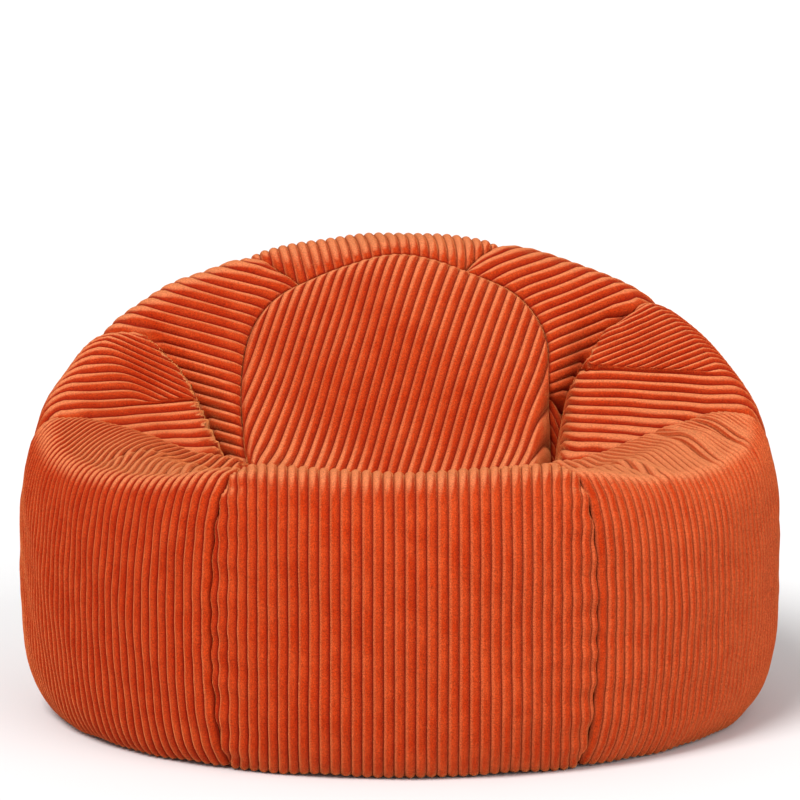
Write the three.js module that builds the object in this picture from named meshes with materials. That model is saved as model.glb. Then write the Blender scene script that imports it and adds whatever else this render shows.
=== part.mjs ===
// Round cord bean bag chair: a removable cover of eight wall gores, a round seat panel and a base
// panel, closed by a zip at the lower back, over a liner full of beads.
// Millimetres, +Z up, origin on the floor at the middle of the chair. The sitter faces -Y.
import * as THREE from 'three';

// ---- driving dimensions: the stuffed body ----
const BODY_RADIUS = 425; // at the widest level, on the outside of the cover
const WIDEST_HEIGHT = 175; // height of the widest level
const FRONT_HEIGHT = 324; // rim at the front
const BACK_HEIGHT = 487; // rim at the back
const SEAT_HEIGHT = 225; // lowest point of the hollow
const FLOOR_ROUNDING = 60; // how far the wall tucks in at the floor
const FLOOR_FULLNESS = 2.6; // superellipse exponent below the widest level
const WALL_FULLNESS = 2.5; // superellipse exponent above it

// ---- driving dimensions: cloth and seams ----
const CORD_THICKNESS = 5; // cord cloth with its pile
const BASE_THICKNESS = 3; // plain base cloth
const LINER_THICKNESS = 1.5;
const LAYER_GAP = 1.5; // between one layer and the next
const SEAM_GAP = 0.8; // between neighbouring panels of the cover
const EDGE_BEVEL = 0.08; // a gore's edges lean in by this share of its thickness
const SEAM_LIFT = 1.2; // the gores' lower edge above the floor, where the seam is not raised
const REAR_SEAM_HEIGHT = 42; // base seam along the zip, at the back
const REAR_SEAM_START = 100; // angle from the front where the seam begins to rise, degrees
const REAR_SEAM_LEVEL = 138; // angle where it has reached the zip's level, degrees

// ---- driving dimensions: the round seat panel, seen from above ----
const PANEL_CENTRE = new THREE.Vector2(-3, 124);
const PANEL_HALF_WIDTH = 179;
const PANEL_HALF_DEPTH = 134;
const PANEL_FULLNESS = 3; // superellipse exponent of its outline

// ---- driving dimensions: the zip, along the lower edge of the back gore ----
const TAPE_WIDTH = 7; // of each half, in the open slot
const TAPE_THICKNESS = 0.8;
const TAPE_DEPTH = 2.5; // outer face of the tape below the outside of the cover
const COIL_WIDTH = 2.4;
const COIL_HEIGHT = 1.6; // above the tape
const COIL_SLOT = 1.8; // between the two coils and the two tapes, where the slider's neck runs
const ZIP_CLEARANCE = 0.4; // between the zip's pieces, and from the tapes to the cloth
const SLIDER_LENGTH = 11;
const SLIDER_WIDTH = 9;
const SLIDER_PLATE = 1.1;
const SLIDER_NECK = 0.8;
const SLIDER_CLEARANCE = 0.6; // to the coils and the tapes, so that it runs freely
const STOP_LENGTH = 3;
const GARAGE_LENGTH = 22;
const GARAGE_CLOTH = 0.8;
const GARAGE_LAP = 5; // hood's cloth beyond the slot, above and below

// ---- driving dimensions: liner mouth and label ----
const MOUTH_RADIUS = 90;
const MOUTH_OVERLAP = 22;
const LABEL_WIDTH = 42;
const LABEL_DROP = 28;
const LABEL_THICKNESS = 0.8;
const LABEL_STANDOFF = 0.5;
const LABEL_ANGLE = 215; // where it is caught in the base seam, degrees from the front

// Stations round the chair: angle from the front in degrees (left is positive), rim height as a
// share of the rise from front to back, rim inset from the widest radius, then the height of the
// bowl at 0.8, 0.55 and 0.28 of the rim radius, as a share from the seat up to the rim.
const STATIONS = [
  [0, 0, 75, 0.68, 0.36, 0.11],
  [30, 0.012, 60, 0.72, 0.41, 0.13],
  [60, -0.012, 47, 0.79, 0.51, 0.175],
  [93, 0.006, 40, 0.82, 0.54, 0.2],
  [106, 0.25, 47, 0.71, 0.44, 0.16],
  [118, 0.48, 60, 0.73, 0.42, 0.14],
  [135, 0.72, 73, 0.77, 0.49, 0.17],
  [155, 0.91, 89, 0.87, 0.61, 0.2],
  [180, 1, 100, 0.97, 0.67, 0.23],
];
const BOWL_SHARES = [0, 0.28, 0.55, 0.8, 1];

// Each gore's two seams, as angles from the front, and its columns of facets. Then, for each seam,
// its angle on the wall and the angle round the seat panel where it ends.
const GORES = [
  { name: 'front', from: -30, to: 28.5, columns: 6 },
  { name: 'front_left', from: 28.5, to: 91.5, columns: 6 },
  { name: 'left', from: 91.5, to: 118, columns: 4 },
  { name: 'back_left', from: 118, to: 151.5, columns: 4 },
  { name: 'back', from: 151.5, to: 199, columns: 10 },
  { name: 'back_right', from: 199, to: 232, columns: 4 },
  { name: 'right', from: 232, to: 267, columns: 4 },
  { name: 'front_right', from: 267, to: 330, columns: 6 },
];
const PANEL_ENDS = [[-30, -30], [28.5, 30], [91.5, 52], [118, 68], [151.5, 145], [199, 203],
  [232, 292], [267, 308], [330, 330]];

// Creases where the back is tucked behind the arms, as points seen from above.
const CREASE_LEFT = [[-330, 196], [-279, 175], [-244, 154], [-216, 116], [-195, 71], [-186, 22]];
const CREASE_RIGHT = [[285, 250], [232, 217], [202, 181], [178, 144], [169, 119], [160, 58]];
const CREASE_DEPTH = 15;
const CREASE_WIDTH = 46;

const rad = THREE.MathUtils.degToRad;
const wrap = (degrees) => ((((degrees + 180) % 360) + 360) % 360) - 180;
const smooth = (t) => THREE.MathUtils.smoothstep(t, 0, 1);

// Value of one station column at an angle, by Catmull-Rom through the stations and their mirror.
function station(column, degrees) {
  const a = Math.abs(wrap(degrees));
  const last = STATIONS.length - 1;
  let i = 0;
  while (i < last - 1 && a > STATIONS[i + 1][0]) i += 1;
  const at = (k) => {
    if (k < 0) return [-STATIONS[-k][0], STATIONS[-k][column]];
    if (k > last) return [360 - STATIONS[2 * last - k][0], STATIONS[2 * last - k][column]];
    return [STATIONS[k][0], STATIONS[k][column]];
  };
  const [p0, p1, p2, p3] = [at(i - 1), at(i), at(i + 1), at(i + 2)];
  const h = p2[0] - p1[0];
  const m1 = ((p2[1] - p0[1]) / (p2[0] - p0[0])) * h;
  const m2 = ((p3[1] - p1[1]) / (p3[0] - p1[0])) * h;
  return hermite((a - p1[0]) / h, p1[1], p2[1], m1, m2);
}

function hermite(t, a, b, slopeA, slopeB) {
  const t2 = t * t;
  const t3 = t2 * t;
  return (2 * t3 - 3 * t2 + 1) * a + (t3 - 2 * t2 + t) * slopeA
    + (3 * t2 - 2 * t3) * b + (t3 - t2) * slopeB;
}

const rimHeight = (angle) => FRONT_HEIGHT + (BACK_HEIGHT - FRONT_HEIGHT) * station(1, angle);
const rimRadius = (angle) => BODY_RADIUS - station(2, angle);

// Depth of the dent at a plan point, from the nearest stretch of a crease.
function creaseDent(x, y, share) {
  let dent = 0;
  for (const path of [CREASE_LEFT, CREASE_RIGHT]) {
    let nearest = Infinity;
    let along = 0;
    for (let i = 0; i < path.length - 1; i += 1) {
      const [ax, ay] = path[i];
      const [dx, dy] = [path[i + 1][0] - ax, path[i + 1][1] - ay];
      const t = THREE.MathUtils.clamp(((x - ax) * dx + (y - ay) * dy) / (dx * dx + dy * dy), 0, 1);
      const distance = Math.hypot(x - ax - t * dx, y - ay - t * dy);
      if (distance < nearest) {
        nearest = distance;
        along = (i + t) / (path.length - 1);
      }
    }
    const fade = smooth((1 - share) / 0.15) * smooth((1 - along) / 0.25);
    dent += CREASE_DEPTH * fade * Math.exp(-((nearest / CREASE_WIDTH) ** 2));
  }
  return dent;
}

// Height of the top of the cover inside the rim.
function bowlHeight(x, y) {
  const angle = THREE.MathUtils.radToDeg(Math.atan2(-x, -y));
  const rim = rimHeight(angle);
  const share = Math.min(1, Math.hypot(x, y) / rimRadius(angle));
  const heights = [0, station(5, angle), station(4, angle), station(3, angle), 1]
    .map((s) => SEAT_HEIGHT + (rim - SEAT_HEIGHT) * s);
  const slope = (i) => {
    if (i === 0 || i === 4) return 0;
    const before = BOWL_SHARES[i] - BOWL_SHARES[i - 1];
    const after = BOWL_SHARES[i + 1] - BOWL_SHARES[i];
    const up = (heights[i] - heights[i - 1]) / before;
    const on = (heights[i + 1] - heights[i]) / after;
    return (up * after + on * before) / (before + after);
  };
  let i = 0;
  while (i < 3 && share > BOWL_SHARES[i + 1]) i += 1;
  const h = BOWL_SHARES[i + 1] - BOWL_SHARES[i];
  const t = (share - BOWL_SHARES[i]) / h;
  return hermite(t, heights[i], heights[i + 1], slope(i) * h, slope(i + 1) * h)
    - creaseDent(x, y, share);
}

const polar = (angle, radius, z) => new THREE.Vector3(
  -radius * Math.sin(rad(angle)), -radius * Math.cos(rad(angle)), z);

function seamHeight(angle) {
  const turn = Math.abs(wrap(angle));
  const rise = smooth((turn - REAR_SEAM_START) / (REAR_SEAM_LEVEL - REAR_SEAM_START));
  return SEAM_LIFT + (REAR_SEAM_HEIGHT - SEAM_LIFT) * rise;
}

function floorRadius(z) {
  const depth = Math.max(0, 1 - z / WIDEST_HEIGHT);
  return BODY_RADIUS - FLOOR_ROUNDING
    + FLOOR_ROUNDING * (1 - depth ** FLOOR_FULLNESS) ** (1 / FLOOR_FULLNESS);
}

// Angle round the seat panel that faces an angle at the rim.
function panelAngle(angle) {
  const first = PANEL_ENDS[0][0];
  const a = ((((angle - first) % 360) + 360) % 360) + first;
  let i = 0;
  while (i < PANEL_ENDS.length - 2 && a > PANEL_ENDS[i + 1][0]) i += 1;
  const [[a0, b0], [a1, b1]] = [PANEL_ENDS[i], PANEL_ENDS[i + 1]];
  return b0 + ((a - a0) / (a1 - a0)) * (b1 - b0);
}

function panelEdge(angle) {
  const turn = rad(panelAngle(angle));
  const power = (v) => Math.sign(v) * Math.abs(v) ** (2 / PANEL_FULLNESS);
  return new THREE.Vector2(-PANEL_HALF_WIDTH * power(Math.sin(turn)),
    -PANEL_HALF_DEPTH * power(Math.cos(turn))).add(PANEL_CENTRE);
}

// A point of the cover's outside. Level 0 to 1 is the wall from the floor to its widest, 1 to 2
// from there to the rim, 2 to 3 over the rim to the seat panel, 3 to 4 across the panel.
function skin(angle, level) {
  if (level <= 1) {
    const z = WIDEST_HEIGHT * (1 - Math.cos((level * Math.PI) / 2) ** (2 / FLOOR_FULLNESS));
    return polar(angle, floorRadius(z), z);
  }
  if (level <= 2) {
    const turn = ((level - 1) * Math.PI) / 2;
    const out = Math.max(0, Math.cos(turn)) ** (2 / WALL_FULLNESS);
    const up = Math.sin(turn) ** (2 / WALL_FULLNESS);
    const inner = rimRadius(angle);
    return polar(angle, inner + (BODY_RADIUS - inner) * out,
      WIDEST_HEIGHT + (rimHeight(angle) - WIDEST_HEIGHT) * up);
  }
  const rim = polar(angle, rimRadius(angle), 0);
  const start = level <= 3 ? new THREE.Vector2(rim.x, rim.y) : panelEdge(angle);
  const end = level <= 3 ? panelEdge(angle) : PANEL_CENTRE;
  const plan = start.clone().lerp(end, Math.min(1, level <= 3 ? level - 2 : level - 3));
  return new THREE.Vector3(plan.x, plan.y, bowlHeight(plan.x, plan.y));
}

// Outward unit normal, from the cloth's slope along and across.
function outward(angle, level) {
  const step = 0.004;
  if (level > 2) {
    const p = skin(angle, level);
    const run = 1.5;
    const dx = bowlHeight(p.x + run, p.y) - bowlHeight(p.x - run, p.y);
    const dy = bowlHeight(p.x, p.y + run) - bowlHeight(p.x, p.y - run);
    return new THREE.Vector3(-dx, -dy, 2 * run).normalize();
  }
  const low = Math.max(0, level - step);
  const high = Math.min(2, level + step);
  const up = skin(angle, high).sub(skin(angle, low));
  const round = skin(angle + 0.5, level).sub(skin(angle - 0.5, level));
  return up.cross(round).normalize();
}

const inside = (angle, level, depth) => skin(angle, level).addScaledVector(
  outward(angle, level), -depth);

function levelAtHeight(z) {
  return (2 / Math.PI) * Math.acos((1 - z / WIDEST_HEIGHT) ** (FLOOR_FULLNESS / 2));
}

function geometry(points, triangles) {
  const shape = new THREE.BufferGeometry();
  shape.setAttribute('position', new THREE.Float32BufferAttribute(
    points.flatMap((p) => [p.x, p.y, p.z]), 3));
  shape.setIndex(triangles.flat());
  return shape;
}

// A closed slab between two grids of points of the same size. Rows may close on themselves.
function slab(outer, inner, closed = false) {
  const rows = outer.length;
  const columns = outer[0].length;
  const points = [...outer.flat(), ...inner.flat()];
  const far = rows * columns;
  const at = (r, c) => r * columns + (c % columns);
  const triangles = [];
  const quad = (a, b, c, d) => triangles.push([a, b, c], [a, c, d]);
  const across = closed ? columns : columns - 1;
  for (let r = 0; r < rows - 1; r += 1) {
    for (let c = 0; c < across; c += 1) {
      quad(at(r, c), at(r + 1, c), at(r + 1, c + 1), at(r, c + 1));
      quad(far + at(r, c), far + at(r, c + 1), far + at(r + 1, c + 1), far + at(r + 1, c));
    }
  }
  for (let c = 0; c < across; c += 1) {
    quad(at(0, c), at(0, c + 1), far + at(0, c + 1), far + at(0, c));
    quad(at(rows - 1, c + 1), at(rows - 1, c), far + at(rows - 1, c), far + at(rows - 1, c + 1));
  }
  if (!closed) {
    for (let r = 0; r < rows - 1; r += 1) {
      quad(at(r + 1, 0), at(r, 0), far + at(r, 0), far + at(r + 1, 0));
      quad(at(r, columns - 1), at(r + 1, columns - 1), far + at(r + 1, columns - 1),
        far + at(r, columns - 1));
    }
  }
  return geometry(points, triangles);
}

// A closed round body from rings of points, listed from its lower edge to its last ring or pole.
// With inner rings it is a shell between the two lists, without them it is solid, pole to pole.
function round(outer, inner = []) {
  const points = [...outer, ...inner].flat();
  const triangles = [];
  const starts = new Map();
  let start = 0;
  for (const ring of [...outer, ...inner]) {
    starts.set(ring, start);
    start += ring.length;
  }
  const band = (low, high, faceOut) => {
    const [a, b] = [starts.get(low), starts.get(high)];
    const n = Math.max(low.length, high.length);
    for (let c = 0; c < n; c += 1) {
      const d = (c + 1) % n;
      const made = [];
      if (high.length > 1) made.push([low.length > 1 ? a + c : a, b + c, b + d]);
      if (low.length > 1) made.push([a + c, high.length > 1 ? b + d : b, a + d]);
      made.forEach((t) => triangles.push(faceOut ? t : [t[0], t[2], t[1]]));
    }
  };
  const layer = (rings, faceOut) => rings.slice(1).forEach((ring, i) => {
    band(rings[i], ring, faceOut);
  });
  layer(outer, true);
  layer(inner, false);
  if (inner.length && outer[0].length > 1) band(inner[0], outer[0], true);
  if (inner.length && outer.at(-1).length > 1) band(outer.at(-1), inner.at(-1), true);
  return geometry(points, triangles);
}

const chair = new THREE.Group();

function add(name, shape, color, roughness, metalness = 0) {
  const material = new THREE.MeshStandardMaterial({ color, roughness, metalness });
  const mesh = new THREE.Mesh(shape, material);
  mesh.name = name;
  chair.add(mesh);
}

const CORD_ORANGE = 0xc4481f;
const BASE_ORANGE = 0xa8401f;
const TAPE_ORANGE = 0xb04a24;
const COIL_ORANGE = 0xc25a30;
const LINER_WHITE = 0xe6e2d8;
const BEAD_WHITE = 0xf4f4f1;
const METAL_GREY = 0x8a8a8c;
const LABEL_WHITE = 0xf0eee8;

// ---- levels that every layer shares, so that their facets lie parallel ----
const LOWER_SHARES = [0, 0.25, 0.5, 0.75]; // from the base seam to the first wall level
const WALL_LEVELS = [0.8, 1, 1.3, 1.55, 1.78, 2, 2.12, 2.3, 2.5, 2.7, 2.86, 3];
const PANEL_LEVELS = [3.3, 3.65];
const seamLevel = (angle) => levelAtHeight(seamHeight(angle) + SEAM_GAP);
const wallLevels = (angle) => [
  ...LOWER_SHARES.map((share) => THREE.MathUtils.lerp(seamLevel(angle), WALL_LEVELS[0], share)),
  ...WALL_LEVELS,
];

// ---- wall gores: shells from the base seam over the rim to the seat panel ----
const ZIP_GORE = 'back';
const ZIP_SLOT = 2 * (TAPE_WIDTH + ZIP_CLEARANCE) + COIL_SLOT; // between gore and base panel
const ZIP_LEVEL = levelAtHeight(REAR_SEAM_HEIGHT + SEAM_GAP + ZIP_SLOT);
const goreLevels = (gore, angle) => (gore.name === ZIP_GORE
  ? [ZIP_LEVEL, ...wallLevels(angle).filter((level) => level > ZIP_LEVEL + 0.02)]
  : wallLevels(angle));
for (const gore of GORES) {
  const rows = goreLevels(gore, gore.from).map((_, i) => (angle) => goreLevels(gore, angle)[i]);
  const grid = (depth) => rows.map((levelAt) => {
    const left = skin(gore.from, levelAt(gore.from));
    const width = left.distanceTo(skin(gore.to, levelAt(gore.to)));
    const trim = ((SEAM_GAP / 2 + depth * EDGE_BEVEL) / width) * (gore.to - gore.from);
    return Array.from({ length: gore.columns + 1 }, (_, c) => {
      const angle = THREE.MathUtils.lerp(gore.from + trim, gore.to - trim, c / gore.columns);
      return inside(angle, levelAt(angle), depth);
    });
  });
  add(`${gore.name}_wall_panel`, slab(grid(0), grid(CORD_THICKNESS)), CORD_ORANGE, 0.95);
}

// ---- seat panel: a round shell in the hollow and up the backrest ----
const roundAngles = GORES.flatMap((gore) => Array.from({ length: gore.columns }, (_, c) => (
  THREE.MathUtils.lerp(gore.from, gore.to, c / gore.columns))));
const ring = (level, depth) => roundAngles.map((angle) => inside(angle, level, depth));
const panelStart = 3 + (2 * SEAM_GAP) / PANEL_HALF_DEPTH;
const panelLevels = [panelStart, ...PANEL_LEVELS];
const pole = (depth) => [inside(0, 4, depth)];
const panelRings = (depth) => [...panelLevels.map((level) => ring(level, depth)), pole(depth)];
add('seat_panel', round(panelRings(0), panelRings(CORD_THICKNESS)), CORD_ORANGE, 0.95);

// ---- base panel: flat on the floor, turned up to the base seam ----
const flatRing = (radius, z) => roundAngles.map((angle) => polar(angle, radius, z));
const hemRing = (share, depth) => roundAngles.map((angle) => inside(angle,
  levelAtHeight(seamHeight(angle)) * share, depth));
const flatRadius = BODY_RADIUS - FLOOR_ROUNDING;
add('base_panel', round([
  [new THREE.Vector3(0, 0, 0)],
  flatRing(flatRadius / 2, 0),
  flatRing(flatRadius - 2, 0),
  hemRing(0.5, 0),
  hemRing(1, 0),
  hemRing(1, BASE_THICKNESS),
  hemRing(0.5, BASE_THICKNESS),
  flatRing(flatRadius - 2, BASE_THICKNESS),
  flatRing(flatRadius / 2, BASE_THICKNESS),
  [new THREE.Vector3(0, 0, BASE_THICKNESS)],
]), BASE_ORANGE, 0.95);

// ---- liner: one thin bag inside the cover, with a round filling mouth in its base ----
const linerDepth = CORD_THICKNESS + LAYER_GAP;
const linerFloor = BASE_THICKNESS + 3 * LAYER_GAP + LINER_THICKNESS;
const wallRing = (row, depth) => roundAngles.map((angle) => inside(angle,
  wallLevels(angle)[row], depth));
const bag = (depth, floor, mouth) => [
  mouth ? flatRing(mouth, floor) : [new THREE.Vector3(0, 0, floor)],
  flatRing(flatRadius - linerDepth - 6, floor),
  ...wallLevels(0).map((_, row) => wallRing(row, depth)),
  ...PANEL_LEVELS.map((level) => ring(level, depth)),
  pole(depth),
];
add('inner_liner', round(
  bag(linerDepth, linerFloor, MOUTH_RADIUS),
  bag(linerDepth + LINER_THICKNESS, linerFloor + LINER_THICKNESS, MOUTH_RADIUS),
), LINER_WHITE, 0.9);

// ---- liner closure: the round flap that shuts the filling mouth from below ----
const closureFloor = BASE_THICKNESS + LAYER_GAP;
const closureRadius = MOUTH_RADIUS + MOUTH_OVERLAP;
add('liner_closure', new THREE.CylinderGeometry(closureRadius, closureRadius, LINER_THICKNESS,
  32).rotateX(Math.PI / 2).translate(0, 0, closureFloor + LINER_THICKNESS / 2),
LINER_WHITE, 0.9);

// ---- bead fill: the whole charge of beads as one body ----
const fillDepth = linerDepth + LINER_THICKNESS + LAYER_GAP;
add('bead_fill', round(bag(fillDepth, linerFloor + LINER_THICKNESS + LAYER_GAP, 0)),
  BEAD_WHITE, 0.9);

// ---- zip: tapes, coils, stops, slider and garage, all round the chair's own axis ----
const zipGore = GORES.find((gore) => gore.name === ZIP_GORE);
const zipHeight = REAR_SEAM_HEIGHT + SEAM_GAP + ZIP_SLOT / 2;
const zipRadius = floorRadius(zipHeight);
const wallRise = new THREE.Vector2(floorRadius(zipHeight + 1) - floorRadius(zipHeight - 1), 2)
  .normalize();
const degreesOf = (length) => THREE.MathUtils.radToDeg(length / zipRadius);

// Angles from one to another that keep to the back gore's columns, so that all facets lie parallel.
function zipAngles(from, to) {
  const step = (zipGore.to - zipGore.from) / zipGore.columns;
  const columns = Array.from({ length: zipGore.columns + 1 }, (_, c) => zipGore.from + c * step);
  return [from, ...columns.filter((angle) => angle > from + 0.2 && angle < to - 0.2), to];
}

// A bar of constant section turned about the chair's axis. A section point is its distance up the
// wall from the middle of the slot and its distance out of the cover.
function arcBar(section, from, to) {
  const outline = section.map(([up, out]) => new THREE.Vector2(up, out));
  const caps = THREE.ShapeUtils.triangulateShape(outline, []);
  const n = section.length;
  const angles = zipAngles(from, to);
  const points = angles.flatMap((angle) => section.map(([up, out]) => polar(angle,
    zipRadius + up * wallRise.x + out * wallRise.y, zipHeight + up * wallRise.y - out * wallRise.x)));
  const triangles = [];
  for (let a = 0; a < angles.length - 1; a += 1) {
    for (let i = 0; i < n; i += 1) {
      const [p, q] = [a * n + i, a * n + ((i + 1) % n)];
      triangles.push([p, p + n, q + n], [p, q + n, q]);
    }
  }
  const end = (angles.length - 1) * n;
  caps.forEach(([i, j, k]) => triangles.push([i, j, k], [end + i, end + k, end + j]));
  return geometry(points, triangles);
}

const box = (low, high, under, over) => [[low, under], [high, under], [high, over], [low, over]];
const mirrorUp = (section) => section.map(([up, out]) => [-up, out]).reverse();
const zipFrom = zipGore.from + degreesOf(SEAM_GAP / 2);
const zipTo = zipGore.to - degreesOf(SEAM_GAP / 2);
const coilFrom = zipFrom + degreesOf(STOP_LENGTH + ZIP_CLEARANCE);
const coilTo = zipTo - degreesOf(STOP_LENGTH + ZIP_CLEARANCE);
const coilUnder = ZIP_CLEARANCE - TAPE_DEPTH;
const coilOver = coilUnder + COIL_HEIGHT;
const tape = box(COIL_SLOT / 2, COIL_SLOT / 2 + TAPE_WIDTH, -TAPE_DEPTH - TAPE_THICKNESS,
  -TAPE_DEPTH);
const coil = box(COIL_SLOT / 2, COIL_SLOT / 2 + COIL_WIDTH, coilUnder, coilOver);
const stopHalf = COIL_SLOT / 2 + COIL_WIDTH;
const stop = box(-stopHalf, stopHalf, coilUnder, coilOver);
add('zip_tape_upper', arcBar(tape, zipFrom, zipTo), TAPE_ORANGE, 0.9);
add('zip_tape_lower', arcBar(mirrorUp(tape), zipFrom, zipTo), TAPE_ORANGE, 0.9);
add('zip_coil_upper', arcBar(coil, coilFrom, coilTo), COIL_ORANGE, 0.5);
add('zip_coil_lower', arcBar(mirrorUp(coil), coilFrom, coilTo), COIL_ORANGE, 0.5);
add('zip_stop_closed_end', arcBar(stop, zipFrom, zipFrom + degreesOf(STOP_LENGTH)),
  METAL_GREY, 0.35, 1);
add('zip_stop_open_end', arcBar(stop, zipTo - degreesOf(STOP_LENGTH), zipTo),
  METAL_GREY, 0.35, 1);

// The slider is two plates joined by a neck that runs between the coils.
const plateUnder = coilOver + SLIDER_CLEARANCE;
const plateOver = plateUnder + SLIDER_PLATE;
const backOver = -TAPE_DEPTH - TAPE_THICKNESS - SLIDER_CLEARANCE;
const backUnder = backOver - SLIDER_PLATE;
const sliderFrom = coilFrom + degreesOf(SLIDER_CLEARANCE);
const half = SLIDER_WIDTH / 2;
const neck = SLIDER_NECK / 2;
add('zip_slider', arcBar([
  [-half, backUnder], [half, backUnder], [half, backOver], [neck, backOver],
  [neck, plateUnder], [half, plateUnder], [half, plateOver], [-half, plateOver],
  [-half, plateUnder], [-neck, plateUnder], [-neck, backOver], [-half, backOver],
], sliderFrom, sliderFrom + degreesOf(SLIDER_LENGTH)), METAL_GREY, 0.3, 1);

// The garage is a cloth hood over the parked slider, open at the end where the slider comes out.
const hoodHalf = ZIP_SLOT / 2 + GARAGE_LAP;
const hoodInner = plateOver + SLIDER_CLEARANCE;
const hoodOuter = hoodInner + GARAGE_CLOTH;
const foot = ZIP_CLEARANCE;
add('zip_garage', arcBar([
  [-hoodHalf, foot], [-hoodHalf + GARAGE_CLOTH, foot], [-hoodHalf + GARAGE_CLOTH, hoodInner],
  [hoodHalf - GARAGE_CLOTH, hoodInner], [hoodHalf - GARAGE_CLOTH, foot], [hoodHalf, foot],
  [hoodHalf, hoodOuter], [-hoodHalf, hoodOuter],
], zipFrom, zipFrom + degreesOf(GARAGE_LENGTH)), TAPE_ORANGE, 0.9);

// ---- care label: a blank tab caught in the base seam ----
const labelHalf = THREE.MathUtils.radToDeg(LABEL_WIDTH / 2 / floorRadius(REAR_SEAM_HEIGHT));
const labelGrid = (standoff) => [1, 0.66, 0.33, 0].map((share) => {
  const level = levelAtHeight(REAR_SEAM_HEIGHT - LABEL_DROP * share);
  return [1, 0, -1].map((side) => inside(LABEL_ANGLE - side * labelHalf, level, -standoff));
});
add('care_label', slab(labelGrid(LABEL_STANDOFF + LABEL_THICKNESS), labelGrid(LABEL_STANDOFF)),
  LABEL_WHITE, 0.8);

export default chair;
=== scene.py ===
# Round cord bean bag chair: bead fill in a liner, a cover of eight ribbed cord gores with a
# round seat panel, a plain base panel, and a zip low down at the back. Metres, +Z up.
import math

import bmesh
import bpy
import mathutils
import numpy as np
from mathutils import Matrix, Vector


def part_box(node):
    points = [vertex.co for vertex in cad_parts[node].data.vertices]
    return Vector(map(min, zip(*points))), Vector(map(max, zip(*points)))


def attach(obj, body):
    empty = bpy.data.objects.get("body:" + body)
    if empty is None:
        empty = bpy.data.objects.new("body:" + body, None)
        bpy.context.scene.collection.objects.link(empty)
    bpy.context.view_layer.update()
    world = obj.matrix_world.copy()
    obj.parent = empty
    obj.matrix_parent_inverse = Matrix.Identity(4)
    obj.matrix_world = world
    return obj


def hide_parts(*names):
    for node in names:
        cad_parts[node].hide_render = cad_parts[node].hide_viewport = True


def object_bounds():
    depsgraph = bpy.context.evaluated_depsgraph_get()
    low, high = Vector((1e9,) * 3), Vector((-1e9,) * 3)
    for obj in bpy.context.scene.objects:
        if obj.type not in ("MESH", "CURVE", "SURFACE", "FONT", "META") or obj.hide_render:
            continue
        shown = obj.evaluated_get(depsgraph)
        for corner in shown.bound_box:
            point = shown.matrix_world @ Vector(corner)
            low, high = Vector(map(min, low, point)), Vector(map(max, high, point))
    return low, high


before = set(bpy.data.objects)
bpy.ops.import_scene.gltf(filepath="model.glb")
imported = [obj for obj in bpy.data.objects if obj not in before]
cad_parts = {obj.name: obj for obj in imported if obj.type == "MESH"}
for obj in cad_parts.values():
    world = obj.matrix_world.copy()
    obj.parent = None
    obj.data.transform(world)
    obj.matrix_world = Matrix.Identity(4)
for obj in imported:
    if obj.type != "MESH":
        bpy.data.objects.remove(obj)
cad_low, cad_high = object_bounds()

# ---- bead fill ----
# The charge of light foam beads that gives the chair its shape: round on the floor, low at the
# front, high at the back, with a hollow for the sitter. It lies loose inside the liner.
BODY_RADIUS = (cad_high.x - cad_low.x) / 2
BACK_HEIGHT = cad_high.z
FRONT_HEIGHT = 0.324
WIDEST_HEIGHT = 0.175
SEAT_HEIGHT = 0.225
FLOOR_ROUNDING = 0.06
FLOOR_FULLNESS = 2.6
WALL_FULLNESS = 2.5
FILL_DEPTH = 0.0175
BEAD_WHITE = (0.86, 0.86, 0.83, 1)
BEAD_SHADE = (0.55, 0.55, 0.52, 1)

# Angle from the front, rim height as a share of the rise to the back, rim inset, then the height
# of the bowl at 0.8, 0.55 and 0.28 of the rim radius as a share from the seat to the rim.
STATIONS = np.array([
    [0, 0, 0.075, 0.68, 0.36, 0.11],
    [28, 0.010, 0.062, 0.72, 0.41, 0.13],
    [45, -0.115, 0.052, 0.97, 0.50, 0.15],
    [65, -0.135, 0.044, 1.04, 0.55, 0.17],
    [80, -0.070, 0.041, 0.96, 0.54, 0.18],
    [93, 0.006, 0.040, 0.80, 0.48, 0.18],
    [106, 0.25, 0.047, 0.71, 0.44, 0.16],
    [118, 0.48, 0.060, 0.73, 0.42, 0.14],
    [135, 0.72, 0.073, 0.77, 0.49, 0.17],
    [155, 0.91, 0.089, 0.87, 0.61, 0.2],
    [180, 1, 0.100, 0.97, 0.67, 0.23],
])
BOWL_SHARES = np.array([0, 0.28, 0.55, 0.8, 1])

# Folds where the back is tucked in behind the arms: points in plan, outer end first.
FOLD_LEFT = [(-0.330, 0.196), (-0.299, 0.185), (-0.279, 0.175), (-0.262, 0.166), (-0.244, 0.154),
             (-0.226, 0.137), (-0.216, 0.116), (-0.204, 0.097), (-0.195, 0.071), (-0.186, 0.022)]
FOLD_RIGHT = [(0.285, 0.250), (0.254, 0.229), (0.232, 0.217), (0.217, 0.205), (0.204, 0.183),
              (0.193, 0.167), (0.185, 0.150), (0.180, 0.125), (0.177, 0.090), (0.172, 0.045)]
FOLD_DEPTH = 0.070
FOLD_ARM_WIDTH = 0.0085
FOLD_BACK_WIDTH = 0.0125
ARM_ROLL = 0.008
ARM_ROLL_AWAY = 0.034
ARM_ROLL_WIDTH = 0.022
FOLD_ANGLES = (118, 232)
BAG_SLACK = 0.012
BAG_SLACK_WIDTH = 0.045
BAG_DROP = 0.020


def smooth(t):
    t = np.clip(t, 0, 1)
    return t * t * (3 - 2 * t)


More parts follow.
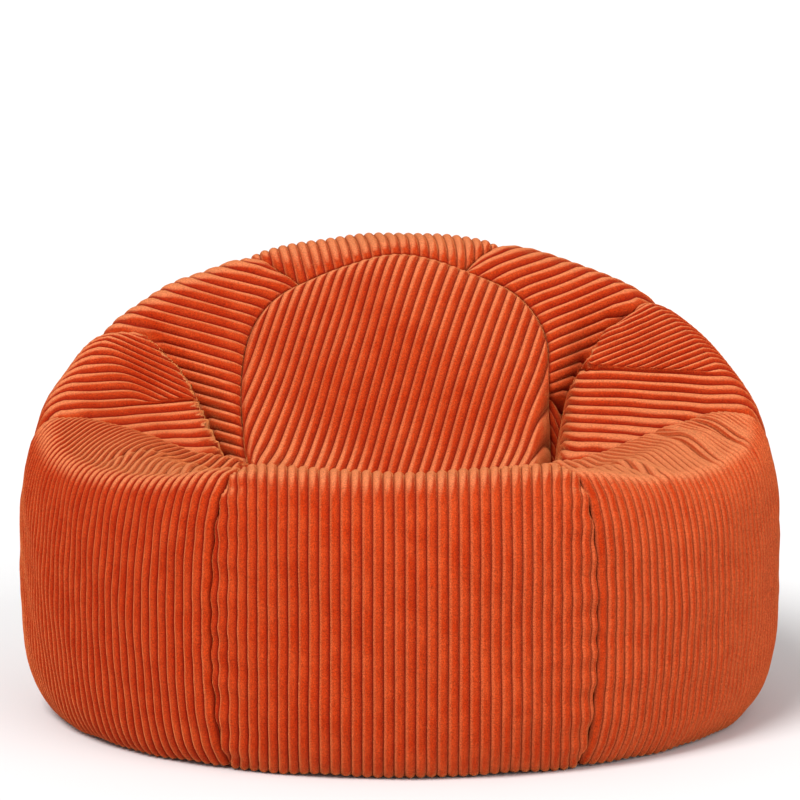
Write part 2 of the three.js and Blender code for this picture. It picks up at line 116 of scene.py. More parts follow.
def hermite(t, a, b, slope_a, slope_b):
    """A smooth way from a to b with the given slopes at its ends."""
    t2 = t * t
    t3 = t2 * t
    rise = (t3 - 2 * t2 + t) * slope_a + (t3 - t2) * slope_b
    return (2 * t3 - 3 * t2 + 1) * a + (3 * t2 - 2 * t3) * b + rise


def station(column, angle):
    """A column of STATIONS at any angle from the front, the same on both sides."""
    turn = np.abs((np.asarray(angle, float) + 180) % 360 - 180)
    at = STATIONS[:, 0]
    value = STATIONS[:, column]
    at_all = np.concatenate([[-at[1]], at, [360 - at[-2]]])
    value_all = np.concatenate([[value[1]], value, [value[-2]]])
    slopes = (value_all[2:] - value_all[:-2]) / (at_all[2:] - at_all[:-2])
    i = np.clip(np.searchsorted(at, turn, side="right") - 1, 0, len(at) - 2)
    step = at[i + 1] - at[i]
    t = (turn - at[i]) / step
    return hermite(t, value[i], value[i + 1], slopes[i] * step, slopes[i + 1] * step)


def rim_height(angle):
    return FRONT_HEIGHT + (BACK_HEIGHT - FRONT_HEIGHT) * station(1, angle)


def rim_radius(angle):
    return BODY_RADIUS - station(2, angle)


def polar(angle, radius):
    turn = np.radians(angle)
    return np.stack([-radius * np.sin(turn), -radius * np.cos(turn)], -1)


def path_reach(plan, path):
    """Distance to a path in plan, signed by its side, and how far along the path, 0 to 1."""
    path = np.array(path)
    nearest = np.full(plan.shape[:-1], 9.0)
    side = np.ones(plan.shape[:-1])
    along = np.zeros(plan.shape[:-1])
    for i in range(len(path) - 1):
        step = path[i + 1] - path[i]
        off = plan - path[i]
        t = np.clip((off @ step) / (step @ step), 0, 1)
        away = off - t[..., None] * step
        distance = np.hypot(away[..., 0], away[..., 1])
        closer = distance < nearest
        cross = step[0] * off[..., 1] - step[1] * off[..., 0]
        nearest = np.where(closer, distance, nearest)
        side = np.where(closer, np.sign(cross), side)
        along = np.where(closer, (i + t) / (len(path) - 1), along)
    return nearest * side, along


def fold_dent(plan, share):
    """How deep the two folds, and how high the arms' rolls beside them, are at points in plan."""
    dent = 0
    for path, arm_side in ((FOLD_LEFT, -1), (FOLD_RIGHT, 1)):
        reach, along = path_reach(plan, path)
        reach = reach * arm_side
        width = np.where(reach > 0, FOLD_ARM_WIDTH, FOLD_BACK_WIDTH)
        depth = FOLD_DEPTH * (0.25 + 0.75 * smooth(along / 0.40)) * smooth((1 - share) / 0.12)
        depth = depth * smooth((1 - along) / 0.12 + 0.35)
        roll = ARM_ROLL * np.exp(-((reach - ARM_ROLL_AWAY) / ARM_ROLL_WIDTH) ** 2) * (reach > 0)
        dent = dent + depth * np.exp(-np.abs(reach / width) ** 1.6) - roll * smooth(along / 0.3)
    return dent


def bowl_height(plan, folds=True):
    """Height of the hollow and the rolls round it, with or without the two folds."""
    angle = np.degrees(np.arctan2(-plan[..., 0], -plan[..., 1]))
    rim = rim_height(angle)
    share = np.minimum(1, np.hypot(plan[..., 0], plan[..., 1]) / rim_radius(angle))
    shares = [0 * rim, station(5, angle), station(4, angle), station(3, angle), 0 * rim + 1]
    heights = np.stack([SEAT_HEIGHT + (rim - SEAT_HEIGHT) * s for s in shares], -1)
    gaps = np.diff(BOWL_SHARES)
    rises = np.diff(heights, axis=-1) / gaps
    inner = (rises[..., :-1] * gaps[1:] + rises[..., 1:] * gaps[:-1]) / (gaps[1:] + gaps[:-1])
    level = np.zeros(rim.shape + (1,))
    slopes = np.concatenate([level, inner, level], -1)
    i = np.clip(np.searchsorted(BOWL_SHARES, share, side="right") - 1, 0, 3)
    pick = lambda table, k: np.take_along_axis(table, k[..., None], -1)[..., 0]
    step = gaps[i]
    t = (share - BOWL_SHARES[i]) / step
    z = hermite(t, pick(heights, i), pick(heights, i + 1), pick(slopes, i) * step,
                pick(slopes, i + 1) * step)
    return z - fold_dent(plan, share) if folds else z


def floor_radius(z):
    depth = np.clip(1 - z / WIDEST_HEIGHT, 0, 1)
    rounding = (1 - depth ** FLOOR_FULLNESS) ** (1 / FLOOR_FULLNESS)
    return BODY_RADIUS - FLOOR_ROUNDING + FLOOR_ROUNDING * rounding


def level_at(z):
    return 2 / math.pi * np.arccos(np.clip(1 - z / WIDEST_HEIGHT, 0, 1) ** (FLOOR_FULLNESS / 2))


def wall_point(angle, level):
    """A point of the outside wall: level 0 at the floor, 1 at the widest, 2 at the rim."""
    turn = level * math.pi / 2
    low_z = WIDEST_HEIGHT * (1 - np.abs(np.cos(np.minimum(turn, math.pi / 2))) ** (2 / FLOOR_FULLNESS))
    up_turn = np.clip(turn - math.pi / 2, 0, math.pi / 2)
    inner = rim_radius(angle)
    high_r = inner + (BODY_RADIUS - inner) * np.clip(np.cos(up_turn), 0, 1) ** (2 / WALL_FULLNESS)
    rise = rim_height(angle) - WIDEST_HEIGHT
    high_z = WIDEST_HEIGHT + rise * np.sin(up_turn) ** (2 / WALL_FULLNESS)
    radius = np.where(level <= 1, floor_radius(low_z), high_r)
    z = np.where(level <= 1, low_z, high_z)
    return np.concatenate([polar(angle, radius), z[..., None]], -1)


def grid_lay(points, closed=False):
    """Unit normals of a grid of points, rows going up the chair and columns round it."""
    up = np.gradient(points, axis=0)
    if closed:
        round_way = np.roll(points, -1, 1) - np.roll(points, 1, 1)
    else:
        round_way = np.gradient(points, axis=1)
    lay = np.cross(up, round_way)
    return lay / np.maximum(np.linalg.norm(lay, axis=-1, keepdims=True), 1e-12)


def put_in_scene(name, data):
    made = bpy.data.objects.new(name, data)
    bpy.context.scene.collection.objects.link(made)
    return made


def grid_faces(at):
    """The four-sided faces of a grid of vertex numbers."""
    corners = (at[:-1, :-1], at[1:, :-1], at[1:, 1:], at[:-1, 1:])
    return np.stack([corner.ravel() for corner in corners], -1)


def bag_mesh(name, depth, floor, puckers=0.0):
    """A closed bag shaped like the stuffed chair, depth below its outside, flat at the floor."""
    angles = np.linspace(0, 360, 121)[:-1]
    wall_levels = np.concatenate([np.linspace(level_at(floor + 0.004), 1, 12), np.linspace(1.05, 2, 20)])
    rows = [wall_point(angles, np.full_like(angles, level)) for level in wall_levels]
    for share in np.linspace(0.94, 0.02, 30):
        plan = polar(angles, rim_radius(angles) * share)
        folds = np.minimum(*[np.abs(path_reach(plan, path)[0]) for path in (FOLD_LEFT, FOLD_RIGHT)])
        slack = (FOLD_DEPTH + BAG_SLACK) * np.exp(-(folds / BAG_SLACK_WIDTH) ** 2)
        slack = slack * smooth((1 - share) / 0.22 + 0.12)
        rows.append(np.concatenate([plan, (bowl_height(plan, False) - slack)[:, None]], -1))
    outside = np.array(rows)
    wave = np.sin(angles * 0.31)[None, :] * np.sin(np.arange(len(rows)) * 0.9)[:, None]
    wave = wave + 0.6 * np.sin(angles * 0.73 + 1.7)[None, :]
    by_fold = sum(np.exp(-((angles - at) / 7) ** 2) for at in FOLD_ANGLES)
    near_rim = smooth((np.arange(len(rows)) - 22) / 9)[:, None]
    points = outside - grid_lay(outside, True) * (depth + puckers * (1 + wave))[..., None]
    points[..., 2] -= BAG_DROP * by_fold * near_rim
    points[..., 2] = np.maximum(points[..., 2], floor)
    lowest = points[0] * [0.97, 0.97, 0] + [0, 0, floor]
    points = np.concatenate([lowest[None], points])
    verts = [*points.reshape(-1, 3).tolist(), (0, 0, floor), (0, 0, points[-1, :, 2].mean())]
    at = np.arange(len(verts) - 2).reshape(-1, len(angles))
    at = np.concatenate([at, at[:, :1]], 1)
    faces = grid_faces(at).tolist()
    under, over = at[[0, -1]].tolist()
    for k in range(len(angles)):
        faces.append((len(verts) - 2, under[k], under[k + 1]))
        faces.append((len(verts) - 1, over[k + 1], over[k]))
    mesh = bpy.data.meshes.new(name)
    mesh.from_pydata(verts, [], faces)
    mesh.shade_smooth()
    return put_in_scene(name, mesh)


def stands_for(piece, node, material=None):
    """Puts a piece in the place of one CAD node of the root body."""
    if material:
        piece.data.materials.append(material)
    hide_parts(node)
    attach(piece, "root")


def add_node(tree, kind, inputs=None, **settings):
    """The outputs of a new node; each input named gets a value, or the socket that feeds it."""
    made = tree.nodes.new(kind)
    for key, value in settings.items():
        setattr(made, key, value)
    for key, value in (inputs or {}).items():
        if isinstance(value, bpy.types.NodeSocket):
            tree.links.new(value, made.inputs[key])
        else:
            made.inputs[key].default_value = value
    return made.outputs


def blend(tree, factor, a, b):
    """Colour a where the factor is 0, colour b where it is 1."""
    return add_node(tree, "ShaderNodeMix", {"Factor": factor, "A": a, "B": b}, data_type="RGBA")["Result"]


def noise(tree, place, scale, detail, roughness=0.5):
    look = {"Vector": place, "Scale": scale, "Detail": detail, "Roughness": roughness}
    return add_node(tree, "ShaderNodeTexNoise", look)["Fac"]


def plain_material(name, colour, roughness):
    """A new material, its node tree, and its shader's inputs with colour and roughness set."""
    made = bpy.data.materials.new(name)
    made.use_nodes = True
    shader = made.node_tree.nodes["Principled BSDF"].inputs
    shader["Base Color"].default_value = colour
    shader["Roughness"].default_value = roughness
    return made, made.node_tree, shader


bead_foam, tree, shader = plain_material("bead_foam", BEAD_WHITE, 0.8)
place = add_node(tree, "ShaderNodeTexCoord")["Object"]
beads = add_node(tree, "ShaderNodeTexVoronoi", {"Vector": place, "Scale": 260})["Distance"]
bead_bump = add_node(tree, "ShaderNodeBump", {"Height": beads, "Distance": 0.002}, invert=True)
tree.links.new(blend(tree, beads, BEAD_WHITE, BEAD_SHADE), shader["Base Color"])
tree.links.new(bead_bump["Normal"], shader["Normal"])

bead_charge = bag_mesh("bead_charge", FILL_DEPTH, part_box("bead_fill")[0].z)
stands_for(bead_charge, "bead_fill", bead_foam)

# ---- liner ----
# A thin white woven bag, a little puckered inside the tighter cover, with a filling mouth in its
# base that a round sewn flap closes. It keeps the beads in when the cover is off for washing.
LINER_DEPTH = 0.0155
LINER_CLOTH = 0.0006
LINER_PUCKER = 0.0004
LINER_WHITE = (0.78, 0.76, 0.70, 1)
LINER_SHADE = (0.62, 0.60, 0.54, 1)
FLAP_RADIUS = 0.112
FLAP_HEIGHT = 0.0047
FLAP_CLOTH = 0.0009


def new_group(name, kind, inputs, outputs):
    """An empty node group with its named sockets, what it is given, and what it puts out."""
    group = bpy.data.node_groups.new(name, kind)
    for way, sockets in (("INPUT", inputs), ("OUTPUT", outputs)):
        for key, value in sockets.items():
            group.interface.new_socket(key, in_out=way, socket_type="NodeSocket" + value)
    return group, group.nodes.new("NodeGroupInput").outputs, group.nodes.new("NodeGroupOutput").inputs


def calculate(tree, operation, a, b=0.5):
    return add_node(tree, "ShaderNodeMath", {0: a, 1: b}, operation=operation)[0]


def woven_cloth_group():
    """Height of a plain weave on the piece's own coordinates, and a soft mottling."""
    given = {"Vector": "Vector", "Threads": "Float", "Mottle Scale": "Float"}
    puts_out = {"Height": "Float", "Mottle": "Float"}
    group, given, out = new_group("Plain weave", "ShaderNodeTree", given, puts_out)
    apart = add_node(group, "ShaderNodeSeparateXYZ", {"Vector": given["Vector"]})
    threads = [calculate(group, "SINE", calculate(group, "MULTIPLY", apart[axis], given["Threads"]))
               for axis in ("X", "Y", "Z")]
    crossing = calculate(group, "MULTIPLY", threads[0], threads[1])
    group.links.new(calculate(group, "ADD", crossing, threads[2]), out["Height"])
    group.links.new(noise(group, given["Vector"], given["Mottle Scale"], 4), out["Mottle"])
    return group


plain_weave = woven_cloth_group()


def woven_material(name, colour, shade, threads, mottle_scale, bump):
    """Plain woven cloth: two close shades of one colour, and a thread relief."""
    made, tree, shader = plain_material(name, colour, 0.9)
    place = add_node(tree, "ShaderNodeTexCoord")["Object"]
    given = {"Vector": place, "Threads": threads, "Mottle Scale": mottle_scale}
    weave = add_node(tree, "ShaderNodeGroup", given, node_tree=plain_weave)
    relief = add_node(tree, "ShaderNodeBump", {"Height": weave["Height"], "Distance": bump, "Strength": 0.6})
    tree.links.new(blend(tree, weave["Mottle"], colour, shade), shader["Base Color"])
    tree.links.new(relief["Normal"], shader["Normal"])
    shader["Sheen Weight"].default_value = 0.15
    return made


liner_cloth = woven_material("liner_cloth", LINER_WHITE, LINER_SHADE, 4200, 14, 0.0003)
liner = bag_mesh("bead_liner", LINER_DEPTH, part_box("inner_liner")[0].z, LINER_PUCKER)
liner.modifiers.new("Cloth", "SOLIDIFY").thickness = LINER_CLOTH
stands_for(liner, "inner_liner", liner_cloth)


def shell_mesh(name, outer, inner):
    """A closed shell between two grids of points, its outside faces first."""
    at = np.arange(outer.size // 3).reshape(outer.shape[:2])
    outside = grid_faces(at)
    ring = np.concatenate([at[0], at[1:, -1], at[-1, -2::-1], at[-2:0:-1, 0]])
    after = np.roll(ring, -1)
    rim = np.stack([ring, after, after + at.size, ring + at.size], -1)
    faces = np.concatenate([outside, outside[:, [0, 3, 2, 1]] + at.size, rim])
    made = bpy.data.meshes.new(name)
    made.from_pydata(np.concatenate([outer, inner]).reshape(-1, 3).tolist(), [], faces.tolist())
    return made


def merge_doubles(mesh, distance, turn_out=False):
    tidy = bmesh.new()
    tidy.from_mesh(mesh)
    bmesh.ops.remove_doubles(tidy, verts=tidy.verts, dist=distance)
    if turn_out:
        bmesh.ops.recalc_face_normals(tidy, faces=tidy.faces)
    tidy.to_mesh(mesh)
    tidy.free()
    mesh.shade_smooth()


def arc_cloth(name, angles, profile, thickness, wave=0.0):
    """A closed strip or round of cloth: the profile gives radius and height at an angle."""
    outer = np.array([profile(angle) for angle in angles]).transpose(1, 0, 2)
    towards_edge = np.linspace(0, 1, len(outer))[:, None] ** 3
    ripple = wave * np.sin(np.radians(angles) * 90)[None, :] * towards_edge
    outer = outer + np.stack([ripple, 0 * ripple], -1)
    slope = np.gradient(outer, axis=0)
    slope = slope / np.linalg.norm(slope, axis=-1, keepdims=True)
    inner = outer + np.stack([-slope[..., 1], slope[..., 0]], -1) * thickness
    place = lambda grid: np.concatenate([polar(angles, grid[..., 0]), grid[..., 1:]], -1)
    mesh = shell_mesh(name, place(outer), place(inner))
    merge_doubles(mesh, 2e-5, turn_out=True)
    return put_in_scene(name, mesh)


def flap_profile(angle):
    radius = np.linspace(0.0004, FLAP_RADIUS, 16)
    ripple = 0.0004 * np.sin(radius * 170 + math.radians(angle) * 3)
    return np.stack([radius, FLAP_HEIGHT + ripple], -1)


flap = arc_cloth("liner_flap", np.linspace(0, 360, 97), flap_profile, FLAP_CLOTH)
stands_for(flap, "liner_closure", liner_cloth)

# ---- wall gores ----
# Eight gores of thick wide-wale cord, cut tapering and sewn edge to edge, ribs running up the
# wall, over the rim and down to the seat panel. Every seam pulls its cloth in, so each edge dives
# into a soft groove and the ribs end there.
RIB_PITCH = 0.0115
RIB_RELIEF = 0.0040
RIB_ROUNDNESS = 0.6
RIB_SAMPLES = np.array([0, 0.05, 0.15, 0.3, 0.5, 0.7, 0.85, 0.95])
ROW_STEP = 0.007
BACKING = 0.0022
SEAM_HALF_GAP = 0.0003
PANEL_GROOVE = 0.0035
GROOVE_WIDTH = 0.0110
PUCKER_PITCH = 0.034
CORD_CROWN = (0.40, 0.026, 0.0006, 1)
# Painted shade: a darker red laid in the rib valleys and along the seam and panel grooves.
CORD_VALLEY_SHADE = (0.20, 0.005, 0.0008, 1)
CORD_WORN = (0.50, 0.056, 0.009, 1)
# Painted light and sheen: a paler colour for cloth that faces up.
CORD_PAINTED_TOP_LIGHT = (0.68, 0.195, 0.075, 1)
# Painted highlight and painted shade for the two flanks of each rib.
CORD_LIT_FLANK = (0.60, 0.135, 0.045, 1)
CORD_SHADED_FLANK = (0.27, 0.010, 0.0006, 1)
# The way from which the painted light on cloth facing up comes.
PAINTED_LIGHT_WAY = (-0.25, -0.05, 0.967)

PANEL_CENTRE = np.array([-0.003, 0.124])
PANEL_HALF_WIDTH = 0.179
PANEL_HALF_DEPTH = 0.134
PANEL_FULLNESS = 3.4

# Each seam: its angle up the wall, its end round the seat panel, its way there in plan, and how
# deep it pulls the cloth in.
SEAMS = {
    "front_right/front": (-30, -32, [], 0.0024),
    "front/front_left": (28.5, 32, [], 0.0024),
    "front_left/left": (91.5, 50, [
        (-0.365, 0.010), (-0.346, 0.008), (-0.318, 0.007), (-0.286, -0.001), (-0.254, -0.011),
        (-0.223, -0.010), (-0.185, 0.005)], 0.010),
    "left/back_left": (118, 68, [
        (-0.309, 0.168), (-0.285, 0.169), (-0.262, 0.164), (-0.244, 0.152), (-0.226, 0.134),
        (-0.216, 0.114), (-0.204, 0.093), (-0.194, 0.070)], 0.009),
    "back_left/back": (150, 153, [], 0.0065),
    "back/back_right": (200, 194, [], 0.0065),
    "back_right/right": (232, 264, [
        (0.263, 0.201), (0.245, 0.195), (0.222, 0.189), (0.203, 0.178)], 0.009),
    "right/front_right": (267, 310, [
        (0.350, 0.028), (0.330, 0.030), (0.288, 0.020), (0.250, 0.008), (0.205, 0.006)], 0.010),
    "front_right/front again": (330, 328, [], 0.0024),
}

# Each gore: its two seams, then the line its ribs lie parallel to, as a share of the way from its
# first seam to its second. The arm and back corner gores instead turn their ribs over the rim to
# lie level: their slant in degrees seen from the front, and their spread there.
GORES = [
    ("front", "front_right/front", "front/front_left", 0.5, None, 1),
    ("front_left", "front/front_left", "front_left/left", 0, None, 1),
    ("left", "front_left/left", "left/back_left", 0.5, 4, 1.12),
    ("back_left", "left/back_left", "back_left/back", 0.5, -15, 1.0),
    ("back", "back_left/back", "back/back_right", 0.5, None, 1),
    ("back_right", "back/back_right", "back_right/right", 0.5, 22, 1.0),
    ("right", "back_right/right", "right/front_right", 0.5, -3, 1.12),
    ("front_right", "right/front_right", "front_right/front again", 1, None, 1),
]
# Beside the back corner seams the arms' cloth is gathered: height of the lowest gathered rib, the
# slant of the gathers, where they start from at the rim, and how tight they are.
GATHERS = {"left": (0.357, -26, (-0.362, 0.372), 1.9), "right": (0.390, 22, (0.360, 0.375), 1.8)}
GATHER_EASE = 0.010
# Long creases where the sitter's weight has folded the shoulders: their two ends in plan.
CREASES = {
    "front_right": [((0.275, 0.045), (0.352, -0.190)), ((0.212, -0.120), (0.292, -0.285)),
                    ((0.330, 0.010), (0.392, -0.110))],
    "front_left": [((-0.262, -0.085), (-0.330, -0.165)), ((-0.220, -0.150), (-0.262, -0.275))],
}
CREASE_DEPTH = 0.0042
# Gores counted the other way round, so that the painted highlight and painted shade on the rib flanks match
# all over.
FLANK_PAINT_TURNED = ("back", "back_right", "right")
SEAM_TURN_DEPTH = 0.0132
SEAM_TURN_WIDTH = 0.010
SEAM_TURN_CLOTH = 0.0010
PILE_FADE = 0.004
PUCKER_REACH = 0.034
PUCKER_FRONT = 0.0024
PUCKER_ELSEWHERE = 0.0006
SIGHT_RISE = 0.165
RIM_SWEEP = 0.20
SHOULDER_ROLL = 0.011
REAR_SEAM_HEIGHT = 0.042
REAR_SEAM_START = 100
REAR_SEAM_LEVEL = 138
SEAM_LIFT = 0.0012
ZIP_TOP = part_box("back_wall_panel")[0].z


def base_seam_height(angle):
    turn = np.abs((np.asarray(angle, float) + 180) % 360 - 180)
    rise = smooth((turn - REAR_SEAM_START) / (REAR_SEAM_LEVEL - REAR_SEAM_START))
    return SEAM_LIFT + (REAR_SEAM_HEIGHT - SEAM_LIFT) * rise


def panel_edge(angle):
    turn = np.radians(angle)
    reach = lambda v: np.sign(v) * np.abs(v) ** (2 / PANEL_FULLNESS)
    edge = np.stack([-PANEL_HALF_WIDTH * reach(np.sin(turn)), -PANEL_HALF_DEPTH * reach(np.cos(turn))], -1)
    return edge + PANEL_CENTRE


def path_length(points):
    return np.concatenate([[0], np.cumsum(np.linalg.norm(np.diff(points, axis=0), axis=1))])


def even_path(points, count):
    """Points evenly spaced along a smooth line through the given ones."""
    points = np.array(points, float)
    if len(points) > 2:
        ends = [2 * points[0] - points[1], *points, 2 * points[-1] - points[-2]]
        fine = []
        for p0, p1, p2, p3 in zip(ends, ends[1:], ends[2:], ends[3:]):
            t = np.linspace(0, 1, 12, endpoint=False)[:, None]
            fine.append(hermite(t, p1, p2, (p2 - p0) / 2, (p3 - p1) / 2))
        points = np.concatenate([*fine, points[-1:]])
    length = path_length(points)
    at = np.linspace(0, length[-1], count)
    return np.stack([np.interp(at, length, points[:, k]) for k in range(points.shape[1])], -1)


def gore_surface(first, last, start_level):
    """Outside points of a gore before its seams are pulled in, and how many rows are wall."""
    angle_a, end_a, way_a, _ = SEAMS[first]
    angle_b, end_b, way_b, _ = SEAMS[last]
    middle = (angle_a + angle_b) / 2
    columns = int(BODY_RADIUS * math.radians(angle_b - angle_a) / 0.0035) + 1
    u = np.linspace(0, 1, columns)
    angles = angle_a + (angle_b - angle_a) * u
    low = start_level if start_level else float(level_at(base_seam_height(middle) + 0.0008))
    fine = np.linspace(low, 2, 900)
    profile = wall_point(np.full(900, middle), fine)
    length = path_length(profile)
    wall_rows = int(length[-1] / ROW_STEP)
    levels = np.interp(np.linspace(0, length[-1], wall_rows + 1), length, fine)[:-1]
    starts = np.full(columns, low) if start_level else level_at(base_seam_height(angles) + 0.0008)
    share = np.clip((levels - low) / (0.8 - low), 0, None)[:, None]
    level_grid = np.where(share < 1, starts + share * (0.8 - starts), levels[:, None])
    wall = wall_point(np.broadcast_to(angles, level_grid.shape), level_grid)
    rim = polar(angles, rim_radius(angles))
    edge = panel_edge(end_a + (end_b - end_a) * u)
    reach = np.linalg.norm(edge[columns // 2] - rim[columns // 2])
    rise = bowl_height(rim[columns // 2], False) - bowl_height(edge[columns // 2], False)
    top_rows = int(math.hypot(reach, rise) / ROW_STEP * 1.2) + 1
    v = 1 - (1 - np.linspace(0, 1, top_rows + 1)[:, None, None]) ** 1.25
    side_a = even_path([rim[0], *way_a, edge[0]], 400)[np.rint(v[:, 0, 0] * 399).astype(int)]
    side_b = even_path([rim[-1], *way_b, edge[-1]], 400)[np.rint(v[:, 0, 0] * 399).astype(int)]
    w = u[None, :, None]
    plan = (1 - v) * rim + v * edge + (1 - w) * side_a[:, None] + w * side_b[:, None]
    corners = (1 - v) * ((1 - w) * rim[0] + w * rim[-1]) + v * ((1 - w) * edge[0] + w * edge[-1])
    plan = plan - corners
    top = np.concatenate([plan, bowl_height(plan)[..., None]], -1)
    return np.concatenate([wall, top]), wall_rows


def pull_in(distance, depth, width):
    return depth * np.exp(-np.abs(distance / width) ** 1.35)


def dress(group, geometry, material, out):
    """Ends a Geometry Nodes tree: instances made real, then the material set."""
    real = add_node(group, "GeometryNodeRealizeInstances", {"Geometry": geometry})["Geometry"]
    dressed = add_node(group, "GeometryNodeSetMaterial", {"Geometry": real, "Material": material})
    group.links.new(dressed["Geometry"], out["Geometry"])


def cord_geometry_nodes():
    """Raises each rib of the cord from the smooth cloth, by its place across the cloth."""
    given = {"Geometry": "Geometry", "Relief": "Float", "Roundness": "Float", "Cloth": "Material"}
    group, given, out = new_group("Cord ribs", "GeometryNodeTree", given, {"Geometry": "Geometry"})

    def stored(name, kind):
        return add_node(group, "GeometryNodeInputNamedAttribute", {"Name": name}, data_type=kind)["Attribute"]

    across = calculate(group, "FRACT", stored("wale", "FLOAT"))
    crown = calculate(group, "SINE", calculate(group, "MULTIPLY", across, math.pi))
    rounded = calculate(group, "POWER", crown, given["Roundness"])
    lift = calculate(group, "MULTIPLY", rounded, given["Relief"])
    lift = calculate(group, "MULTIPLY", lift, stored("pile", "FLOAT"))
    lift = {"Vector": stored("lay", "FLOAT_VECTOR"), "Scale": lift}
    offset = add_node(group, "ShaderNodeVectorMath", lift, operation="SCALE")["Vector"]
    raised = add_node(group, "GeometryNodeSetPosition", {"Geometry": given["Geometry"], "Offset": offset})
    dress(group, raised["Geometry"], given["Cloth"], out)
    return group


def grown(made, group, inputs):
    """The object turned into the plain mesh that a Geometry Nodes tree makes of it."""
    modifier = made.modifiers.new(group.name, "NODES")
    modifier.node_group = group
    for item in group.interface.items_tree:
        if item.item_type == "SOCKET" and item.in_out == "INPUT" and item.name in inputs:
            modifier[item.identifier] = inputs[item.name]
    bpy.context.view_layer.update()
    seen = made.evaluated_get(bpy.context.evaluated_depsgraph_get())
    mesh = bpy.data.meshes.new_from_object(seen)
    made.modifiers.clear()
    made.data = mesh
    mesh.name = made.name
    return made


cord_ribs = cord_geometry_nodes()


def cord_piece(name, outer, lay, wale, pile):
    """A closed shell of cord from a grid of points, with its ribs raised on the outer face."""
    mesh = shell_mesh(name, outer, outer - lay * BACKING)
    two = lambda a, b: np.concatenate([a.ravel(), b.ravel()]).astype(np.float32)
    for key, value in (("wale", two(wale, wale)), ("pile", two(pile, 0 * pile))):
        mesh.attributes.new(key, "FLOAT", "POINT").data.foreach_set("value", value)
    mesh.attributes.new("lay", "FLOAT_VECTOR", "POINT").data.foreach_set("vector", two(lay, lay))
    merge_doubles(mesh, 1e-5)
    sizes = {"Relief": RIB_RELIEF, "Roundness": RIB_ROUNDNESS, "Cloth": cord_cloth}
    return grown(put_in_scene(name, mesh), cord_ribs, sizes)


def ramp(tree, value, low, high, start=0, end=1, kind="SMOOTHSTEP"):
    """Start below low, end above high, and a slope between them."""
    ends = {"From Min": low, "From Max": high, "To Min": start, "To Max": end}
    return add_node(tree, "ShaderNodeMapRange", {"Value": value, **ends}, interpolation_type=kind)["Result"]


def cord_pile_group():
    """Masks for cord: its valleys and flanks for painted shade and highlight, mottled wear and fluff."""
    masks = ("Valley", "Nap", "Lit Flank", "Shaded Flank", "Height")
    given = {"Wale": "Float", "Place": "Vector", "Valley Width": "Float", "Nap Scale": "Float"}
    puts_out = {mask: "Float" for mask in masks}
    group, given, out = new_group("Cord pile", "ShaderNodeTree", given, puts_out)
    across = calculate(group, "FRACT", given["Wale"])
    middle = calculate(group, "PINGPONG", across, 0.5)
    # Painted shade mask: 1 in the valley between two ribs.
    valley = ramp(group, middle, 0, given["Valley Width"], 1, 0)
    nap = noise(group, given["Place"], given["Nap Scale"], 5, 0.6)
    fluff = noise(group, given["Place"], 700, 3)
    # Painted highlight mask on one flank of each rib, painted shade mask on the other.
    slanted_links_or_lit_flank = ramp(group, across, 0.60, 0.90)
    shaded_flank = ramp(group, across, 0.04, 0.46, 1, 0)
    for mask, value in zip(masks, (valley, nap, slanted_links_or_lit_flank, shaded_flank, fluff)):
        group.links.new(value, out[mask])
    return group


cord_cloth, tree, shader = plain_material("cord_cloth", CORD_CROWN, 0.9)
place = add_node(tree, "ShaderNodeTexCoord")["Object"]
wale = add_node(tree, "ShaderNodeAttribute", attribute_name="wale")["Fac"]
standing = add_node(tree, "ShaderNodeAttribute", attribute_name="pile")["Fac"]
given = {"Wale": wale, "Place": place, "Valley Width": 0.11, "Nap Scale": 38}
pile = add_node(tree, "ShaderNodeGroup", given, node_tree=cord_pile_group())
worn = ramp(tree, pile["Nap"], 0.35, 0.75, kind="LINEAR")
cord_colour = blend(tree, worn, CORD_CROWN, CORD_WORN)
# Painted shade on one flank of every rib and a painted highlight on the other, as if light fell on them from
# one side.
for side, side_colour, amount in (("Shaded Flank", CORD_SHADED_FLANK, 0.75), ("Lit Flank", CORD_LIT_FLANK, 0.60)):
    side_part = calculate(tree, "MULTIPLY", pile[side], amount)
    cord_colour = blend(tree, side_part, cord_colour, side_colour)
# Painted light and sheen: cloth facing up and a little to the left is painted paler, as if lit from above.
facing = add_node(tree, "ShaderNodeNewGeometry")["Normal"]
facing = add_node(tree, "ShaderNodeVectorMath", {0: facing, 1: PAINTED_LIGHT_WAY}, operation="DOT_PRODUCT")
top_light = ramp(tree, facing["Value"], 0.68, 0.95, 0, 0.90)
cord_colour = blend(tree, top_light, cord_colour, CORD_PAINTED_TOP_LIGHT)
speckle = ramp(tree, pile["Height"], 0.3, 0.7, 0.60, 1.40, "LINEAR")
speckled = {"Vector": cord_colour, "Scale": speckle}
speckled = add_node(tree, "ShaderNodeVectorMath", speckled, operation="SCALE")
# Painted shade: darker in the rib valleys and where the ribs fade out into the seam and panel grooves.
seam_groove_shade = calculate(tree, "SUBTRACT", 0.7, standing)
groove_shade = calculate(tree, "MAXIMUM", seam_groove_shade, pile["Valley"])
valley_shade_part = calculate(tree, "MULTIPLY", groove_shade, 0.80)
pile_bump = add_node(tree, "ShaderNodeBump", {"Height": pile["Height"], "Distance": 0.0012, "Strength": 0.9})
tree.links.new(blend(tree, valley_shade_part, speckled["Vector"], CORD_VALLEY_SHADE), shader["Base Color"])
tree.links.new(pile_bump["Normal"], shader["Normal"])
shader["Specular IOR Level"].default_value = 0.12
shader["Sheen Weight"].default_value = 0.95
shader["Sheen Roughness"].default_value = 0.28
shader["Sheen Tint"].default_value = (1, 0.38, 0.12, 1)


